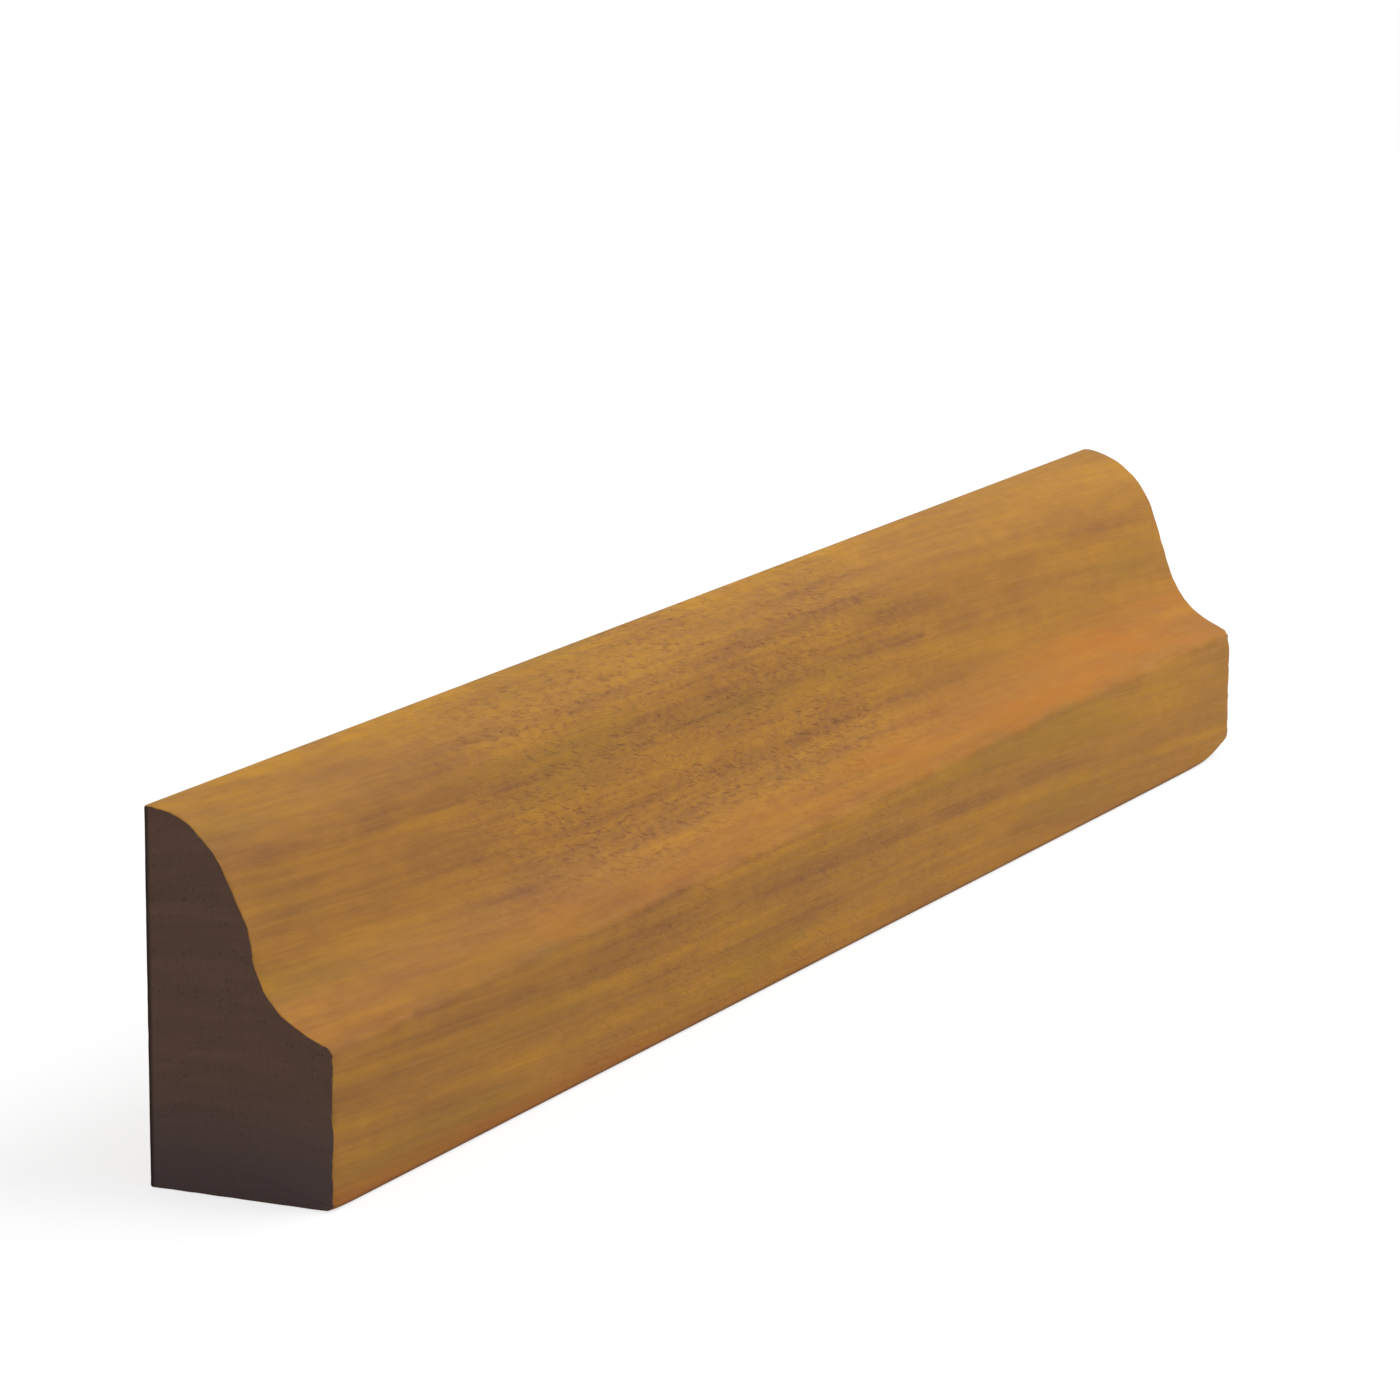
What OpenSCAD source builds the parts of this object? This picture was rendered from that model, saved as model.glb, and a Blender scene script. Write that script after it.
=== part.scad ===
// Shoe moulding: a short sample of ogee-faced trim, planed from one strip of wood and sawn square
// at both ends. It stands on its floor face with its wall face toward +Y, and runs along X.
// The origin is the middle of its foot. Slopes are in degrees below level, seen from the wall outwards.

/* [Stock] */
// Length of the sample between its two saw cuts
length = 127; // [40:1:300]
// Thickness at the foot, from the wall face to the front face
thickness = 11.1; // [10:0.1:12.5]
// Height of the wall face
height = 20.6; // [18:0.1:22]

/* [Ogee] */
// Width of the flat land left along the top edge
land = 0.5; // [0.3:0.1:1.5]
// Radius of the round, the upper curve
round_r = 6; // [5:0.1:7.5]
// Slope of the round where it leaves the land
crest_slope = 9; // [6:1:20]
// Slope of the straight flank between the round and the hollow
flank_slope = 71; // [66:1:78]
// Radius of the hollow, the lower curve
hollow_r = 5.8; // [5.2:0.1:7.5]
// Height of the upright front face, up to the shoulder where the hollow ends
shoulder = 8.7; // [7:0.1:10]

/* [Eased edges] */
// Radius worn onto the bottom edge of the front face
toe_r = 0.4; // [0.2:0.05:1]
// How far down the front face the small flat sanded onto the shoulder reaches
shoulder_ease = 0.15; // [0.05:0.05:0.5]

/* [Hidden] */
$fn = 180;
wood_brown = [0.69, 0.49, 0.24];
// Each curve bites this far past the flank, so that the surfaces cross at one clean line
bite = 0.005;
// How far a cutting shape reaches out of the wood
reach = 1;

// Unit direction down a slope, and the unit direction square to it, out of the wood
function down(slope) = [cos(slope), -sin(slope)];
function out(slope) = [sin(slope), cos(slope)];

// The round starts at the land's edge and turns until it is as steep as the flank
land_edge = [land, height];
round_centre = land_edge - round_r * out(crest_slope);
flank_top = round_centre + round_r * out(flank_slope);

// The hollow touches the flank and ends on the shoulder. How far the shoulder lies down the flank
// and out from it gives the length of the flank between the two curves.
shoulder_point = [thickness, shoulder];
shoulder_down = (shoulder_point - flank_top) * down(flank_slope);
shoulder_out = (shoulder_point - flank_top) * out(flank_slope);
flank_length = shoulder_down - sqrt(hollow_r ^ 2 - (hollow_r - shoulder_out) ^ 2);
flank_foot = flank_top + flank_length * down(flank_slope);
hollow_centre = flank_foot + hollow_r * out(flank_slope);

// The crest of the strip, rounded over from the land to the flank
module round() {
    intersection() {
        square([thickness, height]);
        translate(round_centre) circle(round_r + bite);
    }
}

// The strip from the flank down to the floor, with a straight slope where the hollow will be
module flank_and_foot() {
    polygon([[0, 0], [thickness, 0], shoulder_point, flank_foot, flank_top, [0, flank_top.y]]);
}

// What the cutter takes out between the flank and the shoulder
module hollow() {
    translate(hollow_centre) circle(hollow_r + bite);
}

// The corner waste outside the rounded bottom edge
module toe_waste() {
    difference() {
        translate([thickness - toe_r, -reach]) square([toe_r + reach, toe_r + reach]);
        translate([thickness - toe_r, toe_r]) circle(toe_r);
    }
}

// The tip of the shoulder, taken off along one 45 degree line
module shoulder_waste() {
    translate(shoulder_point + [reach, -shoulder_ease - reach])
        rotate(45)
            square(2 * reach * sqrt(2));
}

// Cross section: x is the distance out from the wall, y the height above the floor
module section() {
    difference() {
        union() {
            round();
            flank_and_foot();
        }
        hollow();
        toe_waste();
        shoulder_waste();
    }
}

module shoe_moulding() {
    color(wood_brown)
        translate([-length / 2, thickness / 2, 0])
            rotate([90, 0, 90])
                linear_extrude(length)
                    mirror([1, 0])
                        section();
}

shoe_moulding();
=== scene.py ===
"""Looks of the shoe moulding: one stained, ogee-faced strip standing on a plain pale floor.

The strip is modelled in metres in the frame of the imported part. It runs along X, its wall face looks
toward +Y and its foot stands on Z = 0. Patterns in the wood are worked out in millimetres on Object
coordinates.
"""

import logging
import math
from dataclasses import dataclass
from enum import Enum
from functools import reduce

import bmesh
import bpy
from mathutils import Euler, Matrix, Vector, noise


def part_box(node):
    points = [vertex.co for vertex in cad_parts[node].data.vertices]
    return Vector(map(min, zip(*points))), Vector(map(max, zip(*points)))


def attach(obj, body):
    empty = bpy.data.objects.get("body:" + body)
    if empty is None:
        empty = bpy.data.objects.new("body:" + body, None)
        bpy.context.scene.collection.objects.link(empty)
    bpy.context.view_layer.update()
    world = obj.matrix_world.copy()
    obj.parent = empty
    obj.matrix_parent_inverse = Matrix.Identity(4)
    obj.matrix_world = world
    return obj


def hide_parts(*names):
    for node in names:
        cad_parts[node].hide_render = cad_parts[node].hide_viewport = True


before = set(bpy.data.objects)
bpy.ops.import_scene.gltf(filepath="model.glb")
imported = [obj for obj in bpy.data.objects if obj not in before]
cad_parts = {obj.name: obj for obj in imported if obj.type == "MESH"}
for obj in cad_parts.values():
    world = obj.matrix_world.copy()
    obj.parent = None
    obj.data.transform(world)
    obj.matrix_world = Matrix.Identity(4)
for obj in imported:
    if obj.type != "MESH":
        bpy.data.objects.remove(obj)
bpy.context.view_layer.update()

LOG = logging.getLogger("shoe_moulding")
MM = 0.001

# The curve from the colours of a screen to linear light
SCREEN_WHITE = 255
CURVE_FOOT = 0.04045
FOOT_SLOPE = 12.92
CURVE_OFFSET = 0.055
CURVE_POWER = 2.4

Colour = tuple[float, float, float, float]
Socket = bpy.types.NodeSocket
Stretch = tuple[float, float, float]


def display_colour(red: int, green: int, blue: int) -> Colour:
    """Turn a colour as a screen shows it into the linear colour that shaders work in.

    Args:
        red: Red, from 0 to 255.
        green: Green, from 0 to 255.
        blue: Blue, from 0 to 255.

    Returns:
        The linear colour, opaque.
    """
    shares = [value / SCREEN_WHITE for value in (red, green, blue)]
    curved = [((share + CURVE_OFFSET) / (1 + CURVE_OFFSET)) ** CURVE_POWER for share in shares]
    linear = [s / FOOT_SLOPE if s <= CURVE_FOOT else c for s, c in zip(shares, curved)]
    return (linear[0], linear[1], linear[2], 1.0)


class Surface(Enum):
    """How a face of the strip was made. The value is its place among the strip's finishes."""

    MOULDED = 0
    PLANED = 1
    SAWN = 2


class Sum(Enum):
    """The sums that a recipe uses."""

    ADD = "ADD"
    TAKE = "SUBTRACT"
    TIMES = "MULTIPLY"
    SIZE = "ABSOLUTE"
    SINE = "SINE"
    LARGER = "MAXIMUM"


class Recipe:
    """Adds nodes to a material or world and wires them up, one step of a finish at a time."""

    # Where the mix node keeps its colours
    COLOUR_A = 6
    COLOUR_B = 7
    COLOUR_OUT = 2
    # How gradually specks are chosen, and how much of a speck is its full middle
    SPECK_FADE = 0.1
    SPECK_CORE = 0.4
    BUMP_STRENGTH = 0.5

    def __init__(self, tree: bpy.types.NodeTree) -> None:
        """Start from an empty tree."""
        self.tree = tree
        self.tree.nodes.clear()

    def node(self, kind: str) -> bpy.types.Node:
        """Add one node of the given kind."""
        return self.tree.nodes.new(kind)

    def feed(self, socket: Socket, value: object) -> None:
        """Give an input its value.

        Args:
            socket: The input to set.
            value: An output of another node, which is linked, or a plain number or colour.
        """
        if isinstance(value, Socket):
            self.tree.links.new(value, socket)
        else:
            socket.default_value = value

    def step(
        self, kind: str, inputs: dict[int | str, object], output: int | str = 0, **settings: object
    ) -> Socket:
        """Add one node, feed it and give one of its outputs.

        Args:
            kind: The node's kind.
            inputs: What goes into it, by the number or name of each input.
            output: The number or name of the output.
            **settings: The node's own settings.

        Returns:
            The output.
        """
        node = self.node(kind)
        for name, value in settings.items():
            setattr(node, name, value)
        for name, value in inputs.items():
            self.feed(node.inputs[name], value)
        return node.outputs[output]

    def sum(self, way: Sum, first: object, second: object = 0.0) -> Socket:
        """Work out one sum, which may need only its first value."""
        return self.step("ShaderNodeMath", {0: first, 1: second}, operation=way.value)

    def add(self, *values: object) -> Socket:
        """Add up several values."""
        return reduce(lambda total, value: self.sum(Sum.ADD, total, value), values)

    def times(self, *values: object) -> Socket:
        """Multiply several values."""
        return reduce(lambda product, value: self.sum(Sum.TIMES, product, value), values)

    def ease(
        self, value: object, low: float, high: float, start: float = 0.0, end: float = 1.0
    ) -> Socket:
        """Map a value smoothly from one range to another, held at both ends.

        Args:
            value: What is mapped.
            low: Value at which the result is start.
            high: Value at which the result is end.
            start: Result at the low value.
            end: Result at the high value.

        Returns:
            The mapped value.
        """
        ends = {"From Min": low, "From Max": high, "To Min": start, "To Max": end}
        inputs = {"Value": value, **ends}
        return self.step("ShaderNodeMapRange", inputs, "Result", interpolation_type="SMOOTHSTEP")

    def window(self, value: object, low: float, high: float, fade: float) -> Socket:
        """Give 1 between two limits and fade to 0 outside them.

        Args:
            value: What is tested.
            low: Lower limit.
            high: Upper limit.
            fade: How far outside each limit the result reaches 0.

        Returns:
            The share, from 0 to 1.
        """
        rise = self.ease(value, low - fade, low)
        fall = self.ease(value, high, high + fade, 1.0, 0.0)
        return self.times(rise, fall)

    def place(self, x: object, y: object, z: object) -> Socket:
        """Join three values into one place."""
        return self.step("ShaderNodeCombineXYZ", {0: x, 1: y, 2: z})

    def scaled(self, place: Socket, x: float, y: float, z: float) -> Socket:
        """Stretch a place by its own factor along each axis."""
        return self.step("ShaderNodeMapping", {"Vector": place, "Scale": (x, y, z)})

    def cloud(
        self,
        place: Socket,
        stretch: Stretch,
        detail: float = 2.0,
        rough: float = 0.5,
        twist: float = 0.0,
    ) -> Socket:
        """Soft noise around 0.5.

        Args:
            place: Where the noise is read.
            stretch: How many features it has to one unit along X, Y and Z.
            detail: How many finer layers it has.
            rough: How strong those layers are.
            twist: How much the noise curls round itself.

        Returns:
            The noise value.
        """
        inputs = {
            "Vector": self.scaled(place, *stretch),
            "Scale": 1.0,
            "Detail": detail,
            "Roughness": rough,
            "Distortion": twist,
        }
        return self.step("ShaderNodeTexNoise", inputs, "Fac")

    def stray(
        self, place: Socket, stretch: Stretch, reach: float, detail: float = 2.0, rough: float = 0.5
    ) -> Socket:
        """Soft noise that strays up to the given reach to both sides of zero."""
        cloud = self.cloud(place, stretch, detail, rough)
        return self.times(self.sum(Sum.TAKE, cloud, 0.5), 2 * reach)

    def specks(self, place: Socket, size: float, share: float) -> Socket:
        """Scatter soft-edged specks, one to a cell of one unit.

        Args:
            place: Where the specks are read.
            size: How far a speck reaches from its middle, in units.
            share: The share of cells that have a speck, from 0 to 1.

        Returns:
            1 in the middle of a speck and 0 outside.
        """
        cells = self.node("ShaderNodeTexVoronoi")
        self.feed(cells.inputs["Vector"], place)
        cells.inputs["Scale"].default_value = 1.0
        parts = self.node("ShaderNodeSeparateColor")
        self.feed(parts.inputs[0], cells.outputs["Color"])
        chosen = self.ease(parts.outputs[0], share, share - self.SPECK_FADE)
        speck = self.ease(cells.outputs["Distance"], size, size * self.SPECK_CORE)
        return self.times(speck, chosen)

    def blend(self, share: object, first: object, second: object) -> Socket:
        """Blend two colours, where the share of the second goes from 0 to 1."""
        inputs = {0: share, self.COLOUR_A: first, self.COLOUR_B: second}
        return self.step("ShaderNodeMix", inputs, self.COLOUR_OUT, data_type="RGBA")

    def shades(self, tone: Socket, *colours: Colour) -> Socket:
        """Turn a tone from 0 to 1 into one of several shades, evenly spaced and blended.

        Args:
            tone: Which shade, from 0 for the first to 1 for the last.
            *colours: The shades.

        Returns:
            The colour.
        """
        step = self.node("ShaderNodeValToRGB")
        stops = step.color_ramp.elements
        last = len(colours) - 1
        for number in range(1, last):
            stops.new(number / last)
        for number, colour in enumerate(colours):
            stops[number].position = number / last
            stops[number].color = colour
        self.feed(step.inputs[0], tone)
        return step.outputs[0]

    def seen(self) -> Socket:
        """Tell apart the rays that show this surface to the camera, straight or by gloss or glass.

        Returns:
            1 for those rays and 0 for others.
        """
        path = self.node("ShaderNodeLightPath")
        shown = self.sum(Sum.LARGER, path.outputs["Is Camera Ray"], path.outputs["Is Glossy Ray"])
        return self.sum(Sum.LARGER, shown, path.outputs["Is Transmission Ray"])

    def relief(self, height: Socket, depth: float) -> Socket:
        """Turn a height into bumps, whose full height is the depth in metres."""
        inputs = {"Strength": self.BUMP_STRENGTH, "Distance": depth, "Height": height}
        return self.step("ShaderNodeBump", inputs)

    def show(self, shader: Socket, output: str = "ShaderNodeOutputMaterial") -> None:
        """Make a shader the finished surface, or the sky if the output is a world's."""
        self.feed(self.node(output).inputs["Surface"], shader)


def start_material(name: str) -> tuple[bpy.types.Material, Recipe]:
    """Start a material.

    Args:
        name: The material's name.

    Returns:
        The material and its empty recipe.
    """
    material = bpy.data.materials.new(name)
    material.use_nodes = True
    return material, Recipe(material.node_tree)


@dataclass(frozen=True)
class GrainPlace:
    """Where a point of the wood lies, as outputs in millimetres.

    Attributes:
        along: Distance from the near sawn end.
        out: Distance from the middle of the thickness toward the wall.
        up: Height above the floor.
        ring: Which growth ring the point belongs to, as that ring's height at the near end.
        fibre: The place with its height replaced by the ring, so that patterns on it follow the grain.
    """

    along: Socket
    out: Socket
    up: Socket
    ring: Socket
    fibre: Socket


@dataclass(frozen=True)
class Grain:
    """How the growth rings run through the strip. Lengths are in millimetres.

    Attributes:
        near_end: Where the near sawn end lies along X.
        run_out: How far the rings sink for each millimetre toward the far end.
        sway: How far they sway about that slope.
        sway_length: The length of one sway.
        bow: How much the rings curve across the thickness, for each square millimetre from its middle.
        wander: How far they stray unevenly.
        feather: How far they stray within a few millimetres, which feathers the lines.
    """

    near_end: float
    run_out: float = 0.04
    sway: float = 0.6
    sway_length: float = 120.0
    bow: float = 0.02
    wander: float = 0.3
    feather: float = 0.12

    def lay(self, recipe: Recipe) -> GrainPlace:
        """Work out where each point of the surface lies in the wood.

        Args:
            recipe: The recipe that the nodes go into.

        Returns:
            The point's place.
        """
        point = recipe.node("ShaderNodeTexCoord").outputs["Object"]
        point = recipe.scaled(point, 1 / MM, 1 / MM, 1 / MM)
        parts = recipe.node("ShaderNodeSeparateXYZ")
        recipe.feed(parts.inputs[0], point)
        out, up = parts.outputs[1], parts.outputs[2]
        along = recipe.sum(Sum.TAKE, parts.outputs[0], self.near_end)
        turn = recipe.times(along, 2 * math.pi / self.sway_length)
        sway = recipe.times(recipe.sum(Sum.SINE, turn), self.sway)
        stray = recipe.stray(point, (0.03, 0.15, 0.15), self.wander)
        feather = recipe.stray(point, (0.35, 1.1, 1.1), self.feather, detail=3.0, rough=0.6)
        bow = recipe.times(out, out, self.bow)
        ring = recipe.add(up, recipe.times(along, self.run_out), sway, stray, feather, bow)
        return GrainPlace(along, out, up, ring, recipe.place(along, out, ring))


@dataclass(frozen=True)
class GrainLine:
    """One dark or pale line that runs along the strip. Lengths are in millimetres.

    Attributes:
        middle: The ring, or the height, that it lies on.
        reach: How far it spreads to each side of its middle.
        tone: How much it shifts the wood's tone, below 0 for darker.
        start: Where it starts along the strip, if not before its near end.
        stop: Where it stops, if not past its far end.
        fade: The length over which each end fades out.
    """

    middle: float
    reach: float
    tone: float
    start: float = -10.0
    stop: float = 150.0
    fade: float = 15.0

    def shift(self, recipe: Recipe, place: GrainPlace, course: Socket) -> Socket:
        """Work out how much this line shifts the tone at each point.

        Args:
            recipe: The recipe that the nodes go into.
            place: The point's place in the wood.
            course: What the line follows: the point's ring, or its height.

        Returns:
            The shift.
        """
        aside = recipe.sum(Sum.SIZE, recipe.sum(Sum.TAKE, course, self.middle))
        across = recipe.ease(aside, self.reach, 0.0)
        length = recipe.window(place.along, self.start, self.stop, self.fade)
        breaks = recipe.cloud(place.fibre, (0.16, 0.5, 0.5), detail=3.0, rough=0.6)
        strength = recipe.ease(breaks, low=0.36, high=0.6, start=0.45, end=1.15)
        return recipe.times(across, length, strength, self.tone)


FACE_LINES = (
    GrainLine(middle=18.1, reach=1.9, tone=-0.12, start=10, stop=92, fade=20),
    GrainLine(middle=17.8, reach=0.2, tone=-0.12, start=22, stop=34, fade=2),
    GrainLine(middle=17.9, reach=0.22, tone=-0.1, start=50, stop=68, fade=6),
    GrainLine(middle=17.9, reach=0.28, tone=-0.12, start=76, stop=86, fade=3),
    GrainLine(middle=14.9, reach=0.8, tone=-0.02, start=10, stop=100, fade=6),
    GrainLine(middle=14.7, reach=0.22, tone=-0.1, start=22, stop=44, fade=6),
    GrainLine(middle=12.1, reach=0.15, tone=-0.08, start=42, stop=47, fade=3),
    GrainLine(middle=9.1, reach=1.3, tone=-0.08, start=12, stop=90, fade=12),
    GrainLine(middle=7.7, reach=0.7, tone=0.07, fade=6),
    GrainLine(middle=6.6, reach=0.8, tone=-0.04, stop=84),
    GrainLine(middle=5.0, reach=0.7, tone=0.08, stop=60),
)

# Painted highlights and shade, level along the moulded face, where the profile turns to or from the
# light
PAINTED_LIGHT_AND_SHADE_BANDS = (
    GrainLine(middle=20.6, reach=0.5, tone=0.16, stop=100),
    GrainLine(middle=19.9, reach=0.8, tone=0.05, stop=50),
    GrainLine(middle=18.5, reach=1.0, tone=-0.07),
    GrainLine(middle=16.9, reach=1.1, tone=-0.12, start=84, fade=10),
    GrainLine(middle=10.7, reach=0.7, tone=-0.06),
    GrainLine(middle=9.15, reach=0.3, tone=0.05, stop=85),
    GrainLine(middle=8.45, reach=0.65, tone=-0.16, stop=102),
)


@dataclass(frozen=True)
class WoodFinish:
    """Stained long grain: broad bands, fibre streaks, pores and a satin surface, with painted light
    and shade.

    Attributes:
        name: The finish's name.
        grain: How the grain runs.
        deep: The darkest shade, in pores and lines, and the painted shade along the toe.
        dark: Shade of the darker bands.
        middle: The stain's usual shade.
        light: Shade of the paler bands.
        pale: The palest shade.
        highlight_orange: Warm tint of the painted highlight along the lit foot of the hollow.
        red: Tint along the foot.
        olive: Tint of the greener patches.
        lines: Lines that follow the growth rings and show on the moulded face.
        bands: Painted highlights and shade, level along the moulded face, where its profile turns to
            or from the light.
        knife_marks: How deep the planer's ripples are, as a share of the relief.
    """

    name: str
    grain: Grain
    deep: Colour = display_colour(104, 66, 34)
    dark: Colour = display_colour(141, 96, 57)
    middle: Colour = display_colour(166, 117, 55)
    light: Colour = display_colour(189, 136, 48)
    pale: Colour = display_colour(212, 158, 60)
    highlight_orange: Colour = display_colour(189, 116, 38)
    red: Colour = display_colour(156, 84, 40)
    olive: Colour = display_colour(150, 116, 46)
    lines: tuple[GrainLine, ...] = FACE_LINES
    bands: tuple[GrainLine, ...] = PAINTED_LIGHT_AND_SHADE_BANDS
    knife_marks: float = 0.0

    # Tone of plain wood, and how much pores, curls and the painted shade at the hollow's foot shift it
    USUAL_TONE = 0.5
    PORE_TONE = -0.12
    CURL_TONE = -0.17
    HOLLOW_SHADE_TONE = -0.05
    # The share of the flecks outside the busy figure
    FLECKS_ELSEWHERE = 0.2
    # Distance down the moulded face for each millimetre of height and thickness
    DOWN_FACE = -0.8
    # How far the curls slant down the face along the grain, and their depth in pores' depths
    CURL_SLANT = 0.25
    CURL_DEPTH = 1.6
    # Pores: how far they reach from their middles, and the share of cells that have one
    PORE_SIZE = 0.45
    PORE_CELLS = 0.45
    KNIFE_PITCH = 1.6
    SPECULAR = 0.05
    RELIEF_DEPTH = 0.04 * MM

    def middle_share(self, recipe: Recipe, place: GrainPlace) -> Socket:
        """Work out where the figure is busy: in the middle of the length, mostly above the shoulder.

        Args:
            recipe: The recipe that the nodes go into.
            place: The point's place in the wood.

        Returns:
            The share, from 0 to 1.
        """
        length = recipe.window(place.along, low=40, high=70, fade=26)
        height = recipe.ease(place.up, low=8.6, high=10.5, start=0.45, end=1.0)
        patches = recipe.cloud(place.fibre, (0.08, 0.3, 0.4))
        uneven = recipe.ease(patches, low=0.3, high=0.6, start=0.5, end=1.0)
        return recipe.times(length, height, uneven)

    def curls(self, recipe: Recipe, place: GrainPlace, middle: Socket) -> Socket:
        """Scatter the short dark curls of the busy figure, which slant across the grain.

        Args:
            recipe: The recipe that the nodes go into.
            place: The point's place in the wood.
            middle: How busy the figure is at the point.

        Returns:
            The share of a curl at the point, from 0 to 1.
        """
        down_face = recipe.times(recipe.add(place.out, place.up), self.DOWN_FACE)
        aside = recipe.sum(Sum.TAKE, down_face, recipe.times(place.along, self.CURL_SLANT))
        spot = recipe.place(place.along, aside, 0.0)
        curls = recipe.cloud(spot, (0.75, 2.9, 1.0), rough=0.6, twist=0.9)
        return recipe.times(recipe.ease(curls, low=0.55, high=0.68), middle)

    def on_face(self, recipe: Recipe, place: GrainPlace) -> Socket:
        """Give 1 on the moulded face and 0 toward the wall."""
        return recipe.ease(place.out, low=-0.5, high=-2.5)

    def tone(
        self, recipe: Recipe, place: GrainPlace, middle: Socket, pores: Socket, curls: Socket
    ) -> Socket:
        """Work out how dark or pale the wood is at each point, with painted light and shade in it.

        Args:
            recipe: The recipe that the nodes go into.
            place: The point's place in the wood.
            middle: How busy the figure is at the point.
            pores: The share of a pore at the point.
            curls: The share of a curl at the point.

        Returns:
            The tone, around 0.5.
        """
        fibre = place.fibre
        bands = recipe.stray(fibre, (0.012, 0.1, 0.5), reach=0.12)
        blotches = recipe.stray(fibre, (0.075, 0.3, 0.45), reach=0.15, detail=1.0)
        streaks = recipe.stray(fibre, (0.03, 1.3, 1.9), reach=0.14, detail=3.0)
        fibres = recipe.stray(fibre, (0.07, 3.2, 4.6), reach=0.13, detail=3.0, rough=0.6)
        mottle = recipe.stray(fibre, (0.55, 0.9, 1.1), reach=0.08, detail=1.0)
        calm = recipe.ease(place.along, low=80, high=118, start=1.0, end=0.65)
        grain = recipe.times(recipe.add(streaks, fibres), calm)
        flecks = recipe.stray(fibre, (1.3, 2.8, 3.0), reach=0.26, detail=4.0, rough=0.75)
        flecks = recipe.times(flecks, recipe.add(middle, self.FLECKS_ELSEWHERE))
        # Paler toward the far end: partly the wood's colour changing along its length, partly painted
        # light
        drift_and_painted_light = recipe.ease(place.along, low=15, high=120, start=-0.02, end=0.04)
        # Painted shade: darker at the foot of the hollow, where the lamps light it strongest
        hollow_shade = recipe.window(place.up, low=8.9, high=9.6, fade=0.5)
        hollow_shade = recipe.times(hollow_shade, self.on_face(recipe, place), self.HOLLOW_SHADE_TONE)
        pores = recipe.times(pores, self.PORE_TONE)
        curls = recipe.times(curls, self.CURL_TONE)
        lines = [line.shift(recipe, place, place.ring) for line in self.lines]
        # Painted highlights and shade that follow the height along the profile
        lines += [painted_band.shift(recipe, place, place.up) for painted_band in self.bands]
        figure = recipe.add(bands, blotches, grain, mottle, flecks)
        return recipe.add(self.USUAL_TONE, figure, drift_and_painted_light, hollow_shade, pores, curls, *lines)

    def colour(self, recipe: Recipe, place: GrainPlace, tone: Socket) -> Socket:
        """Work out the stained colour, with painted highlight in the hollow and painted shade at the
        toe.

        Args:
            recipe: The recipe that the nodes go into.
            place: The point's place in the wood.
            tone: How dark or pale the wood is there.

        Returns:
            The colour.
        """
        colour = recipe.shades(tone, self.deep, self.dark, self.middle, self.light, self.pale)
        patches = recipe.cloud(place.fibre, (0.035, 0.2, 0.3), detail=1.0)
        greener = recipe.ease(patches, low=0.5, high=0.72, start=0.0, end=0.35)
        colour = recipe.blend(greener, colour, self.olive)
        # Painted highlight: a warm, paler stripe along the lit foot of the hollow, above the shoulder,
        # stronger toward the far end
        spread = recipe.ease(place.along, low=60, high=112, start=0.0, end=1.8)
        top = recipe.ease(recipe.sum(Sum.TAKE, place.up, spread), low=11.2, high=9.4)
        edge = recipe.stray(place.fibre, (0.22, 0.1, 0.1), reach=0.5, detail=3.0)
        edge = recipe.ease(recipe.add(place.up, edge), low=8.1, high=8.9)
        uneven = recipe.cloud(place.fibre, (0.05, 0.3, 0.6))
        uneven = recipe.ease(uneven, low=0.35, high=0.65, start=0.35, end=1.0)
        rise = recipe.ease(place.along, low=20, high=105, start=0.26, end=0.58)
        hollow = recipe.times(top, edge, uneven, rise, self.on_face(recipe, place))
        colour = recipe.blend(hollow, colour, self.highlight_orange)
        foot = recipe.ease(place.up, low=1.8, high=0.1)
        foot = recipe.times(foot, recipe.ease(place.along, low=75, high=20, start=0.1, end=0.45))
        colour = recipe.blend(foot, colour, self.red)
        # Painted shade: a dark line along the toe, where the bottom edge turns under toward the floor
        toe = recipe.ease(place.up, low=0.42, high=0.12, start=0.0, end=0.55)
        return recipe.blend(toe, colour, self.deep)

    def make(self) -> bpy.types.Material:
        """Make the material.

        Returns:
            The material.
        """
        material, recipe = start_material(self.name)
        place = self.grain.lay(recipe)
        middle = self.middle_share(recipe, place)
        wave = recipe.stray(place.fibre, (0.8, 2.0, 2.0), reach=0.5)
        bends = {0: place.fibre, 1: recipe.place(0.0, wave, wave)}
        bent = recipe.step("ShaderNodeVectorMath", bends, operation="ADD")
        spot = recipe.scaled(bent, 0.75, 5.0, 5.5)
        pores = recipe.specks(spot, self.PORE_SIZE, self.PORE_CELLS)
        pores = recipe.times(pores, recipe.ease(middle, low=0.0, high=1.0, start=0.12, end=1.0))
        curls = self.curls(recipe, place, middle)
        tone = self.tone(recipe, place, middle, pores, curls)
        relief = recipe.cloud(place.fibre, (0.4, 6.0, 7.0), detail=3.0)
        roughness = recipe.ease(relief, low=0.3, high=0.7, start=0.5, end=0.64)
        dents = recipe.add(pores, recipe.times(curls, self.CURL_DEPTH))
        height = recipe.sum(Sum.TAKE, relief, dents)
        if self.knife_marks:
            turn = recipe.times(place.along, 2 * math.pi / self.KNIFE_PITCH)
            ripple = recipe.times(recipe.sum(Sum.SINE, turn), self.knife_marks)
            height = recipe.add(height, ripple)
        satin = {
            "Base Color": self.colour(recipe, place, tone),
            "Roughness": roughness,
            "Specular IOR Level": self.SPECULAR,
            "Normal": recipe.relief(height, self.RELIEF_DEPTH),
        }
        recipe.show(recipe.step("ShaderNodeBsdfPrincipled", satin))
        return material


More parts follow.
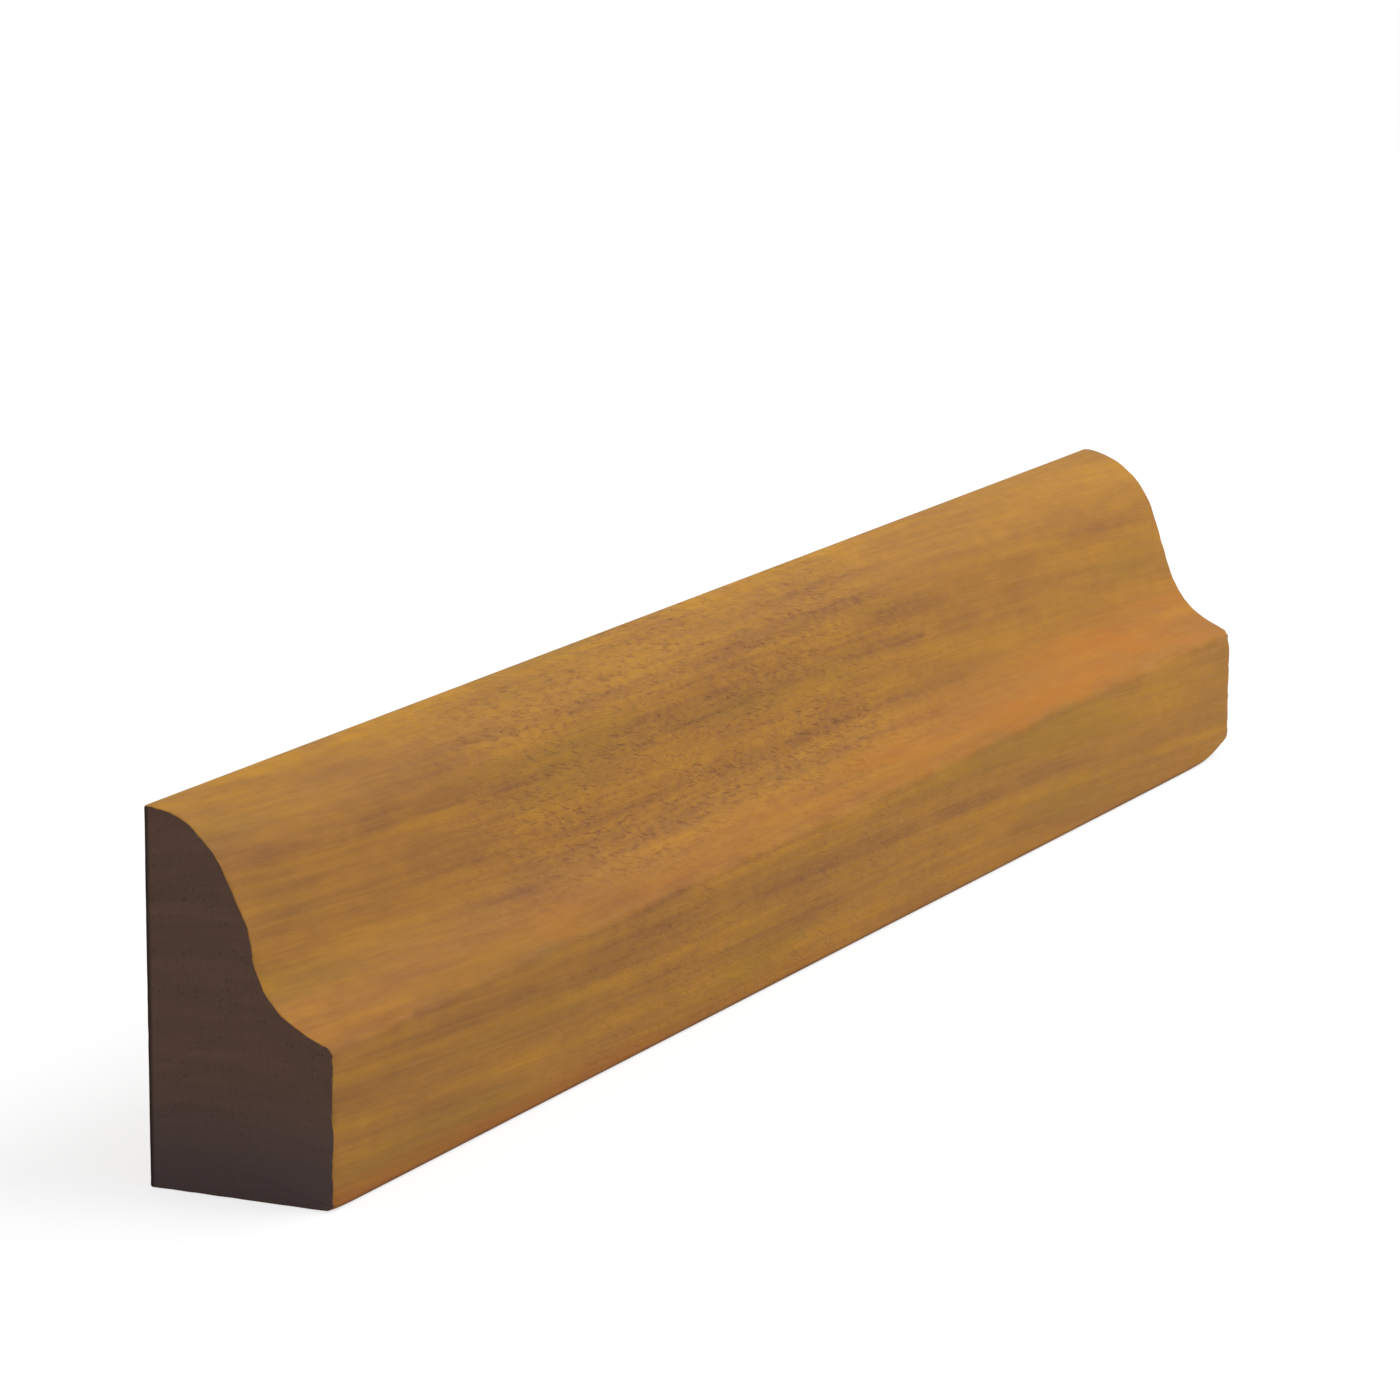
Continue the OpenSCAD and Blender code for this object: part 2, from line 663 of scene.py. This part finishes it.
@dataclass(frozen=True)
class SawnFinish:
    """Stained end grain: the saw cut drinks in the stain and turns dark brown, with faint rings.

    Attributes:
        name: The finish's name.
        grain: How the grain runs.
        deep: The darkest shade, in pores.
        dark: Shade of the late wood.
        light: Shade of the early wood.
        foot: Cooler shade toward the foot.
        edge: Painted shade, a near-black line along the back arris, where the sawn end turns away from
            the light.
    """

    name: str
    grain: Grain
    deep: Colour = display_colour(60, 42, 34)
    dark: Colour = display_colour(96, 72, 60)
    light: Colour = display_colour(112, 85, 69)
    foot: Colour = display_colour(82, 68, 68)
    edge: Colour = display_colour(34, 26, 24)

    # Tone of plain end grain, and how much a pore shifts it
    USUAL_TONE = 0.6
    PORE_TONE = -0.35
    PORE_SIZE = 0.3
    PORE_CELLS = 0.4
    ROUGHNESS = 0.8
    SPECULAR = 0.2
    SCRATCH_DEPTH = 0.05 * MM

    def make(self) -> bpy.types.Material:
        """Make the material.

        Returns:
            The material.
        """
        material, recipe = start_material(self.name)
        place = self.grain.lay(recipe)
        spot = recipe.scaled(place.fibre, 0.3, 4.5, 4.5)
        pores = recipe.specks(spot, self.PORE_SIZE, self.PORE_CELLS)
        rings = recipe.stray(place.fibre, (0.05, 0.12, 1.1), reach=0.35)
        rays = recipe.stray(place.fibre, (0.2, 5.0, 0.4), reach=0.12)
        tone = recipe.add(self.USUAL_TONE, rings, rays, recipe.times(pores, self.PORE_TONE))
        colour = recipe.shades(tone, self.deep, self.dark, self.light)
        foot = recipe.ease(place.up, low=7.5, high=0.5, start=0.0, end=0.85)
        colour = recipe.blend(foot, colour, self.foot)
        # Painted shade: a near-black line along the back arris of the sawn end
        colour = recipe.blend(recipe.ease(place.out, low=5.15, high=5.5), colour, self.edge)
        scratches = recipe.cloud(place.fibre, (1.0, 0.35, 7.0))
        height = recipe.sum(Sum.TAKE, scratches, pores)
        matt = {
            "Base Color": colour,
            "Roughness": self.ROUGHNESS,
            "Specular IOR Level": self.SPECULAR,
            "Normal": recipe.relief(height, self.SCRATCH_DEPTH),
        }
        recipe.show(recipe.step("ShaderNodeBsdfPrincipled", matt))
        return material


def put_in_scene(name: str, mesh: bmesh.types.BMesh) -> bpy.types.Object:
    """Turn a mesh that has been worked on into an object in the scene.

    Args:
        name: The object's name.
        mesh: The mesh, which is freed.

    Returns:
        The object, at the origin.
    """
    data = bpy.data.meshes.new(name)
    mesh.to_mesh(data)
    mesh.free()
    thing = bpy.data.objects.new(name, data)
    bpy.context.scene.collection.objects.link(thing)
    return thing


@dataclass
class MouldingStrip:
    """The strip itself: a round over a hollow, drawn in section, run out along X and eased.

    Attributes:
        low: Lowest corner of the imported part.
        high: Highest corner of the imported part.
        land: Width of the flat along the top edge.
        round_radius: Radius of the upper curve.
        crest_slope: Slope of the round where it leaves the land, below level.
        flank_slope: Slope of the straight flank between the two curves.
        hollow_radius: Radius of the lower curve.
        shoulder: Height of the upright front face.
        toe: Radius worn onto the bottom edge of the front face.
        shoulder_ease: How far the shoulder's edge is sanded round everywhere.
        sanded: How much deeper the sanding goes where it goes deepest.
        sanded_reach: How far from the shoulder's edge that sanding reaches.
        sanded_wave: The length over which it changes.
        sanded_rub: The size of the small rubs in it.
        arris: How far the other long edges are eased.
        sawn_arris: How far the sawn edges are eased.
        chip: How deep the saw's tear-out goes along the sawn edges.
        chip_reach: How far from each end the tear-out reaches.
        chip_size: The size of a coarse chip.
        chip_fine: The size of a fine chip.
        stray: How far the near end's outline strays off the section.
        stray_size: The size of one stray.
        stray_reach: How far from the near end it fades out.
        stray_place: Which part of the noise it follows.
        knock: How far the far bottom corner is knocked in, along X, Y and Z.
        knock_soft: How soft the bruise's edges are.
    """

    low: Vector
    high: Vector
    land: float = 0.5 * MM
    round_radius: float = 6.0 * MM
    crest_slope: float = math.radians(9)
    flank_slope: float = math.radians(71)
    hollow_radius: float = 5.8 * MM
    shoulder: float = 8.7 * MM
    toe: float = 0.4 * MM
    shoulder_ease: float = 0.32 * MM
    sanded: float = 0.38 * MM
    sanded_reach: float = 1.3 * MM
    sanded_wave: float = 4.5 * MM
    sanded_rub: float = 1.6 * MM
    arris: float = 0.13 * MM
    sawn_arris: float = 0.08 * MM
    chip: float = 0.14 * MM
    chip_reach: float = 0.8 * MM
    chip_size: float = 0.9 * MM
    chip_fine: float = 0.35 * MM
    stray: float = 0.33 * MM
    stray_size: float = 2.4 * MM
    stray_reach: float = 2.5 * MM
    stray_place: Vector = Vector((2.0, 37.1, 31.6))
    knock: Vector = Vector((4.2 * MM, 1.5 * MM, 1.0 * MM))
    knock_soft: float = 0.3 * MM

    # Edges along each side of the section and along the strip, and faces across each rounding
    LAND_STEPS = 2
    CURVE_STEPS = 26
    FLANK_STEPS = 14
    FRONT_STEPS = 28
    FLOOR_STEPS = 24
    WALL_STEPS = 40
    LENGTH_STEPS = 127
    EDGE_STEPS = 5
    ARRIS_STEPS = 3
    # Cells across the knock, how far past it they go, and over how many softnesses it fades out
    KNOCK_CELLS = 7
    KNOCK_SPREAD = 1.5
    KNOCK_FADE = 6
    # Cuts across the tear-out, shares of its chips, their bias inwards, and the least near the wall
    CHIP_CUTS = (0.25, 0.45, 0.7)
    COARSE_SHARE = 0.7
    FINE_SHARE = 0.3
    CHIP_BIAS = 0.15
    CHIP_LEAST = 0.25
    # How far a rim's normal leans off X, and a straying side's toward the front, at first and in full
    RIM_LEAN = 0.2
    STRAY_FROM = 0.05
    STRAY_FULL = 0.3
    # Which way the sanding presses, and how much its small rubs count
    SANDED_WAY = Vector((0, 1, -0.6))
    RUB_SHARE = 0.4
    # How squarely a face looks along an axis to be a sawn end, a flat one, or one side of the strip
    ON_END = 0.999
    FLAT_END = 0.9999
    ON_SIDE = 0.75
    RIM_ANGLE = math.radians(40)
    SMOOTH_ANGLE = math.radians(32)
    SAME_POINT = MM / 1000

    def out_of(self, slope: float) -> Vector:
        """Give the unit direction square to a slope, out of the wood."""
        return Vector((0, -math.sin(slope), math.cos(slope)))

    def down(self, slope: float) -> Vector:
        """Give the unit direction down a slope, away from the wall."""
        return Vector((0, -math.cos(slope), -math.sin(slope)))

    def run_side(
        self,
        section: bmesh.types.BMesh,
        start: bmesh.types.BMVert,
        steps: int,
        move: Vector = Vector(),
        centre: Vector | None = None,
        turn: float = 0.0,
    ) -> bmesh.types.BMVert:
        """Draw one side of the section, straight or curved.

        Args:
            section: The section drawn so far.
            start: The vertex it starts from.
            steps: How many edges it is cut into.
            move: Where a straight side ends, as seen from its start.
            centre: The centre that a curved side turns about.
            turn: How far it turns about X.

        Returns:
            The vertex at its end.
        """
        drawn = bmesh.ops.spin(
            section,
            geom=[start],
            cent=start.co if centre is None else centre,
            axis=(1, 0, 0),
            dvec=move / steps,
            angle=turn,
            steps=steps,
            use_duplicate=False,
        )
        return next(item for item in drawn["geom_last"] if isinstance(item, bmesh.types.BMVert))

    def draw_section(self, section: bmesh.types.BMesh) -> None:
        """Draw the closed section at the near end and fill it.

        Args:
            section: The mesh it is drawn in.
        """
        x = self.low.x
        wall_top = Vector((x, self.high.y, self.high.z))
        land_edge = wall_top - Vector((0, self.land, 0))
        round_centre = land_edge - self.out_of(self.crest_slope) * self.round_radius
        flank_top = round_centre + self.out_of(self.flank_slope) * self.round_radius
        shoulder = Vector((x, self.low.y, self.shoulder))
        along = (shoulder - flank_top).dot(self.down(self.flank_slope))
        aside = (shoulder - flank_top).dot(self.out_of(self.flank_slope))
        flank = along - math.sqrt(self.hollow_radius**2 - (self.hollow_radius - aside) ** 2)
        flank_foot = flank_top + self.down(self.flank_slope) * flank
        hollow_centre = flank_foot + self.out_of(self.flank_slope) * self.hollow_radius
        from_centre = shoulder - hollow_centre
        end_slope = math.atan2(from_centre.y, -from_centre.z)

        crest = section.verts.new(wall_top)
        here = self.run_side(section, crest, self.LAND_STEPS, land_edge - crest.co)
        turn = self.flank_slope - self.crest_slope
        here = self.run_side(section, here, self.CURVE_STEPS, centre=round_centre, turn=turn)
        here = self.run_side(section, here, self.FLANK_STEPS, flank_foot - here.co)
        turn = end_slope - self.flank_slope
        here = self.run_side(section, here, self.CURVE_STEPS, centre=hollow_centre, turn=turn)
        here = self.run_side(section, here, self.FRONT_STEPS, self.low - here.co)
        wall_foot = Vector((x, self.high.y, self.low.z))
        here = self.run_side(section, here, self.FLOOR_STEPS, wall_foot - here.co)
        self.run_side(section, here, self.WALL_STEPS, wall_top - here.co)
        bmesh.ops.remove_doubles(section, verts=section.verts[:], dist=self.SAME_POINT)
        bmesh.ops.contextual_create(section, geom=section.edges[:])

    def long_edges(self, mesh: bmesh.types.BMesh, out: float, up: float) -> list[bmesh.types.BMEdge]:
        """Find the edges that run along X through one point of the section.

        Args:
            mesh: The mesh to look in.
            out: The point's Y.
            up: The point's Z.

        Returns:
            The edges there.
        """
        point = Vector((out, up))
        return [
            edge
            for edge in mesh.edges
            if all((vert.co.yz - point).length < self.SAME_POINT for vert in edge.verts)
        ]

    def grid_end(self, mesh: bmesh.types.BMesh) -> None:
        """Cut the far end's face into small cells round its bottom front corner, ready for the knock.

        Args:
            mesh: The strip.
        """
        for step in range(1, self.KNOCK_CELLS + 1):
            share = self.KNOCK_SPREAD * step / self.KNOCK_CELLS
            out = self.low + Vector((0, self.knock.y * share, 0))
            up = self.low + Vector((0, 0, self.knock.z * share))
            for place, facing in ((out, (0, 1, 0)), (up, (0, 0, 1))):
                cap = [face for face in mesh.faces if face.normal.x > self.ON_END]
                edges = list({edge for face in cap for edge in face.edges})
                verts = list({vert for face in cap for vert in face.verts})
                bmesh.ops.bisect_plane(mesh, geom=cap + edges + verts, plane_co=place, plane_no=facing)

    def knock_corner(self, mesh: bmesh.types.BMesh) -> None:
        """Press in the far bottom corner of the front face, softly rounded.

        Args:
            mesh: The strip.
        """
        edge = Vector((self.high.x - self.knock.x, self.low.y, self.low.z))
        facing = Vector((1 / self.knock.x, -1 / self.knock.y, -1 / self.knock.z)).normalized()
        for vert in mesh.verts:
            past = (vert.co - edge).dot(facing)
            near = min(1.0, max(0.0, 1 + past / (self.KNOCK_FADE * self.knock_soft)))
            vert.co -= facing * near * (past + math.sqrt(past**2 + self.knock_soft**2)) / 2

    def ease_edges(
        self, mesh: bmesh.types.BMesh, edges: list[bmesh.types.BMEdge], width: float, steps: int
    ) -> None:
        """Round edges over.

        Args:
            mesh: The strip.
            edges: The edges to round.
            width: How far the rounding reaches from each edge.
            steps: How many faces it has.
        """
        bmesh.ops.bevel(
            mesh,
            geom=edges,
            offset=width,
            offset_type="OFFSET",
            affect="EDGES",
            segments=steps,
            profile=0.5,
            material=-1,
        )

    def sawn_rim(self, mesh: bmesh.types.BMesh) -> list[bmesh.types.BMEdge]:
        """Find the sharp edges round both sawn ends.

        Args:
            mesh: The strip.

        Returns:
            The edges.
        """
        rim = []
        for edge in mesh.edges:
            ends = [abs(face.normal.x) > self.ON_END for face in edge.link_faces]
            if sum(ends) == 1 and edge.calc_face_angle(0.0) > self.RIM_ANGLE:
                rim.append(edge)
        return rim

    def cut_stations(self) -> list[float]:
        """Say where the strip is cut across: evenly along its length and closely at its ends.

        Returns:
            The places along X.
        """
        span = self.high.x - self.low.x
        places = [self.low.x + span * step / self.LENGTH_STEPS for step in range(1, self.LENGTH_STEPS)]
        for share in self.CHIP_CUTS:
            places.append(self.low.x + self.chip_reach * share)
            places.append(self.high.x - self.chip_reach * share)
        cells = 2 * self.KNOCK_CELLS
        for step in range(1, cells):
            places.append(self.high.x - self.KNOCK_SPREAD * self.knock.x * step / cells)
        return places

    def tear_out(self, mesh: bmesh.types.BMesh) -> None:
        """Make the sawn edges slightly uneven, always into the wood.

        Args:
            mesh: The strip.
        """
        mesh.normal_update()
        moves = []
        for vert in mesh.verts:
            depth = min(vert.co.x - self.low.x, self.high.x - vert.co.x)
            inward = Vector((0, -vert.normal.y, -vert.normal.z))
            if depth > self.chip_reach or inward.length < self.RIM_LEAN:
                continue
            inward.normalize()
            front = self.CHIP_LEAST + (1 - self.CHIP_LEAST) * max(0.0, inward.y)
            fade = (1 - depth / self.chip_reach) ** 2 * front
            coarse = noise.noise(vert.co / self.chip_size) * self.COARSE_SHARE
            fine = noise.noise(vert.co / self.chip_fine) * self.FINE_SHARE
            ripple = max(0.0, coarse + fine + self.CHIP_BIAS)
            moves.append((vert, inward * self.chip * fade * ripple))
        for vert, move in moves:
            vert.co += move

    def stray_outline(self, mesh: bmesh.types.BMesh) -> None:
        """Let the near end's moulded outline stray a little to both sides of the section.

        The wood stays inside its own box, so that the upright front only strays inwards.

        Args:
            mesh: The strip.
        """
        mesh.normal_update()
        for vert in mesh.verts:
            near = 1 - (vert.co.x - self.low.x) / self.stray_reach
            outward = Vector((0, vert.normal.y, vert.normal.z))
            if near <= 0 or outward.length < self.RIM_LEAN or outward.y > -self.STRAY_FROM:
                continue
            outward.normalize()
            spot = Vector((self.low.x, vert.co.y, vert.co.z)) / self.stray_size + self.stray_place
            share = self.stray * near**2 * min(1.0, -outward.y / self.STRAY_FULL)
            vert.co += outward * share * noise.noise(spot)
            vert.co.y = max(vert.co.y, self.low.y)
            vert.co.z = min(vert.co.z, self.high.z)

    def sand_shoulder(self, mesh: bmesh.types.BMesh) -> None:
        """Round the shoulder a little more in some places than in others, as sanding by hand does.

        Args:
            mesh: The strip.
        """
        edge = Vector((self.low.y, self.shoulder))
        inward = self.SANDED_WAY.normalized()
        for vert in mesh.verts:
            near = 1 - (vert.co.yz - edge).length / self.sanded_reach
            if near > 0:
                waves = noise.noise(Vector((vert.co.x / self.sanded_wave, 0, 0)))
                rubs = noise.noise(vert.co / self.sanded_rub)
                uneven = min(1.0, max(0.0, 0.5 + waves + self.RUB_SHARE * rubs))
                vert.co += inward * self.sanded * near**2 * uneven

    def sort_faces(self, mesh: bmesh.types.BMesh) -> None:
        """Give each face the finish that its side was made with, and smooth it.

        Args:
            mesh: The strip.
        """
        for face in mesh.faces:
            face.smooth = True
            if abs(face.normal.x) > self.ON_SIDE:
                face.material_index = Surface.SAWN.value
            elif face.normal.y > self.ON_SIDE or face.normal.z < -self.ON_SIDE:
                face.material_index = Surface.PLANED.value
            else:
                face.material_index = Surface.MOULDED.value
        for edge in mesh.edges:
            edge.smooth = edge.calc_face_angle(0.0) < self.SMOOTH_ANGLE

    def flatten_ends(self, mesh: bmesh.types.BMesh) -> None:
        """Shade both sawn faces as flat, so that their shaped rims leave no streaks across them.

        Args:
            mesh: The strip.
        """
        mesh.normal_update()
        for face in mesh.faces:
            if abs(face.normal.x) > self.FLAT_END:
                face.smooth = False

    def build(self) -> bpy.types.Object:
        """Model the strip.

        Returns:
            The strip's object, at the origin, without finishes.
        """
        mesh = bmesh.new()
        self.draw_section(mesh)
        run = bmesh.ops.extrude_face_region(mesh, geom=mesh.faces[:])
        moved = [item for item in run["geom"] if isinstance(item, bmesh.types.BMVert)]
        bmesh.ops.translate(mesh, verts=moved, vec=(self.high.x - self.low.x, 0, 0))
        bmesh.ops.recalc_face_normals(mesh, faces=mesh.faces[:])
        bottom = self.long_edges(mesh, self.low.y, self.low.z)
        self.ease_edges(mesh, bottom, self.toe, self.EDGE_STEPS)
        shoulder = self.long_edges(mesh, self.low.y, self.shoulder)
        self.ease_edges(mesh, shoulder, self.shoulder_ease, self.EDGE_STEPS)
        arrises = self.long_edges(mesh, self.high.y, self.high.z)
        arrises += self.long_edges(mesh, self.high.y, self.low.z)
        self.ease_edges(mesh, arrises, self.arris, self.ARRIS_STEPS)
        self.ease_edges(mesh, self.sawn_rim(mesh), self.sawn_arris, self.ARRIS_STEPS)
        for place in self.cut_stations():
            everything = mesh.verts[:] + mesh.edges[:] + mesh.faces[:]
            bmesh.ops.bisect_plane(mesh, geom=everything, plane_co=(place, 0, 0), plane_no=(1, 0, 0))
        self.grid_end(mesh)
        self.sand_shoulder(mesh)
        self.stray_outline(mesh)
        self.tear_out(mesh)
        self.sort_faces(mesh)
        self.knock_corner(mesh)
        self.flatten_ends(mesh)
        return put_in_scene("moulding_strip", mesh)

    def dress(self, strip: bpy.types.Object) -> None:
        """Put the finishes on the strip, in the order of Surface.

        Args:
            strip: The strip's object.
        """
        grain = Grain(near_end=self.low.x / MM)
        strip.data.materials.append(WoodFinish("stained_moulded_face", grain).make())
        strip.data.materials.append(WoodFinish("stained_planed_back", grain, knife_marks=0.35).make())
        strip.data.materials.append(SawnFinish("stained_end_grain", grain).make())


@dataclass(frozen=True)
class FloorFinish:
    """A pale floor that shows white to the camera and keeps the strip's soft shadow.

    Attributes:
        name: The finish's name.
        pale: The colour that light meets.
        kept: The share of that colour that the camera sees, which carries the shadow.
        lift: How much white is added for the camera.
    """

    name: str = "pale_floor"
    pale: Colour = (0.62, 0.62, 0.62, 1.0)
    kept: Colour = (0.32, 0.32, 0.32, 1.0)
    lift: float = 0.74

    def make(self) -> bpy.types.Material:
        """Make the material.

        Returns:
            The material.
        """
        material, recipe = start_material(self.name)
        lit = recipe.step("ShaderNodeBsdfDiffuse", {"Color": self.pale})
        kept = recipe.step("ShaderNodeBsdfDiffuse", {"Color": self.kept})
        lift = recipe.step("ShaderNodeEmission", {"Strength": self.lift})
        shown = recipe.step("ShaderNodeAddShader", {0: kept, 1: lift})
        recipe.show(recipe.step("ShaderNodeMixShader", {0: recipe.seen(), 1: lit, 2: shown}))
        return material


@dataclass
class Studio:
    """Floor, lamps and sky round the strip.

    Attributes:
        floor_side: Side of the square floor.
        floor_drop: How far the floor lies under the strip, so that the two don't flicker together.
        sky: How bright the sky is to everything but the camera.
        sun: How much the sun adds on a surface that faces it, where 1 shows a colour as it is written.
        sun_from: Direction toward the sun.
        sun_width: Apparent width of the sun, which softens its shadow.
        lamp: How much the lamp adds at the middle of the strip on a surface that faces it.
        lamp_at: Where the lamp hangs.
        lamp_side: Side of the square lamp.
    """

    floor_side: float = 12.0
    floor_drop: float = 0.02 * MM
    sky: float = 0.5
    sun: float = 0.397
    sun_from: Vector = Vector((0.3, -0.58, 0.76))
    sun_width: float = math.radians(35)
    lamp: float = 0.28
    lamp_at: Vector = Vector((0.2, -0.1, 0.24))
    lamp_side: float = 0.16

    def build_floor(self) -> bpy.types.Object:
        """Lay the floor.

        Returns:
            The floor's object.
        """
        mesh = bmesh.new()
        bmesh.ops.create_grid(mesh, x_segments=1, y_segments=1, size=self.floor_side / 2)
        bmesh.ops.translate(mesh, verts=mesh.verts[:], vec=(0, 0, -self.floor_drop))
        floor = put_in_scene("studio_floor", mesh)
        floor.data.materials.append(FloorFinish().make())
        return floor

    def hang(self, name: str, data: bpy.types.Light, place: Vector, aim: Vector) -> None:
        """Put one light in the scene.

        Args:
            name: The light's name.
            data: The light itself.
            place: Where it hangs.
            aim: The direction it shines in.
        """
        light = bpy.data.objects.new(name, data)
        light.location = place
        light.rotation_euler = aim.to_track_quat("-Z", "Y").to_euler()
        bpy.context.scene.collection.objects.link(light)

    def build_lights(self) -> None:
        """Light the strip with one broad sun and one soft lamp near its far end."""
        sun = bpy.data.lights.new("broad_sun", "SUN")
        sun.energy = self.sun * math.pi
        sun.angle = self.sun_width
        self.hang("broad_sun", sun, self.sun_from, -self.sun_from)
        lamp = bpy.data.lights.new("soft_lamp", "AREA")
        lamp.shape = "SQUARE"
        lamp.size = self.lamp_side
        lamp.energy = self.lamp * math.pi**2 * self.lamp_at.length_squared
        self.hang("soft_lamp", lamp, self.lamp_at, -self.lamp_at)

    def build_sky(self) -> None:
        """Light the strip evenly from all round, and show white behind it."""
        world = bpy.data.worlds.new("studio_sky")
        world.use_nodes = True
        recipe = Recipe(world.node_tree)
        white = (1, 1, 1, 1)
        fill = recipe.step("ShaderNodeBackground", {"Color": white, "Strength": self.sky})
        shown = recipe.step("ShaderNodeBackground", {"Color": white})
        choice = recipe.step("ShaderNodeMixShader", {0: recipe.seen(), 1: fill, 2: shown})
        recipe.show(choice, "ShaderNodeOutputWorld")
        bpy.context.scene.world = world


@dataclass(frozen=True)
class StudioCamera:
    """The camera, placed as the photographed view has it.

    Attributes:
        place: Where it stands.
        azimuth: Which way it looks round Z, in degrees, where 0 looks along +Y.
        elevation: How far it looks down, in degrees.
        lens: Its focal length, in millimetres.
        sensor: How wide its sensor is, in millimetres.
        nearest: How near it starts to see.
        farthest: How far it sees.
    """

    place: Vector = Vector((-339.358 * MM, -161.137 * MM, 92.069 * MM))
    azimuth: float = -64.007
    elevation: float = 11.602
    lens: float = 162.708
    sensor: float = 36.0
    nearest: float = 10 * MM
    farthest: float = 50.0

    def build(self) -> bpy.types.Object:
        """Set up the camera and make it the scene's own.

        Returns:
            The camera's object.
        """
        data = bpy.data.cameras.new("studio_camera")
        data.sensor_width = self.sensor
        data.lens = self.lens
        data.clip_start = self.nearest
        data.clip_end = self.farthest
        camera = bpy.data.objects.new("studio_camera", data)
        camera.location = self.place
        tilt = math.radians(90 - self.elevation)
        camera.rotation_euler = Euler((tilt, 0, math.radians(self.azimuth)))
        bpy.context.scene.collection.objects.link(camera)
        bpy.context.scene.camera = camera
        return camera


def main() -> None:
    """Build the strip and the studio, in that order."""
    logging.basicConfig(level=logging.INFO, format="%(name)s: %(message)s")
    low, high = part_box("shoe_moulding")
    moulding = MouldingStrip(low, high)
    strip = moulding.build()
    moulding.dress(strip)
    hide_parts("shoe_moulding")
    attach(strip, "root")
    faces = len(strip.data.polygons)
    LOG.info("%s: %d faces, %d finishes", strip.name, faces, len(strip.data.materials))
    studio = Studio()
    floor = studio.build_floor()
    LOG.info("%s: %.1f m square", floor.name, studio.floor_side)
    studio.build_lights()
    studio.build_sky()
    camera = StudioCamera().build()
    LOG.info("%s: lens %.1f mm", camera.name, camera.data.lens)
    bpy.context.scene.view_settings.view_transform = "Standard"


if __name__ == "__main__":
    main()
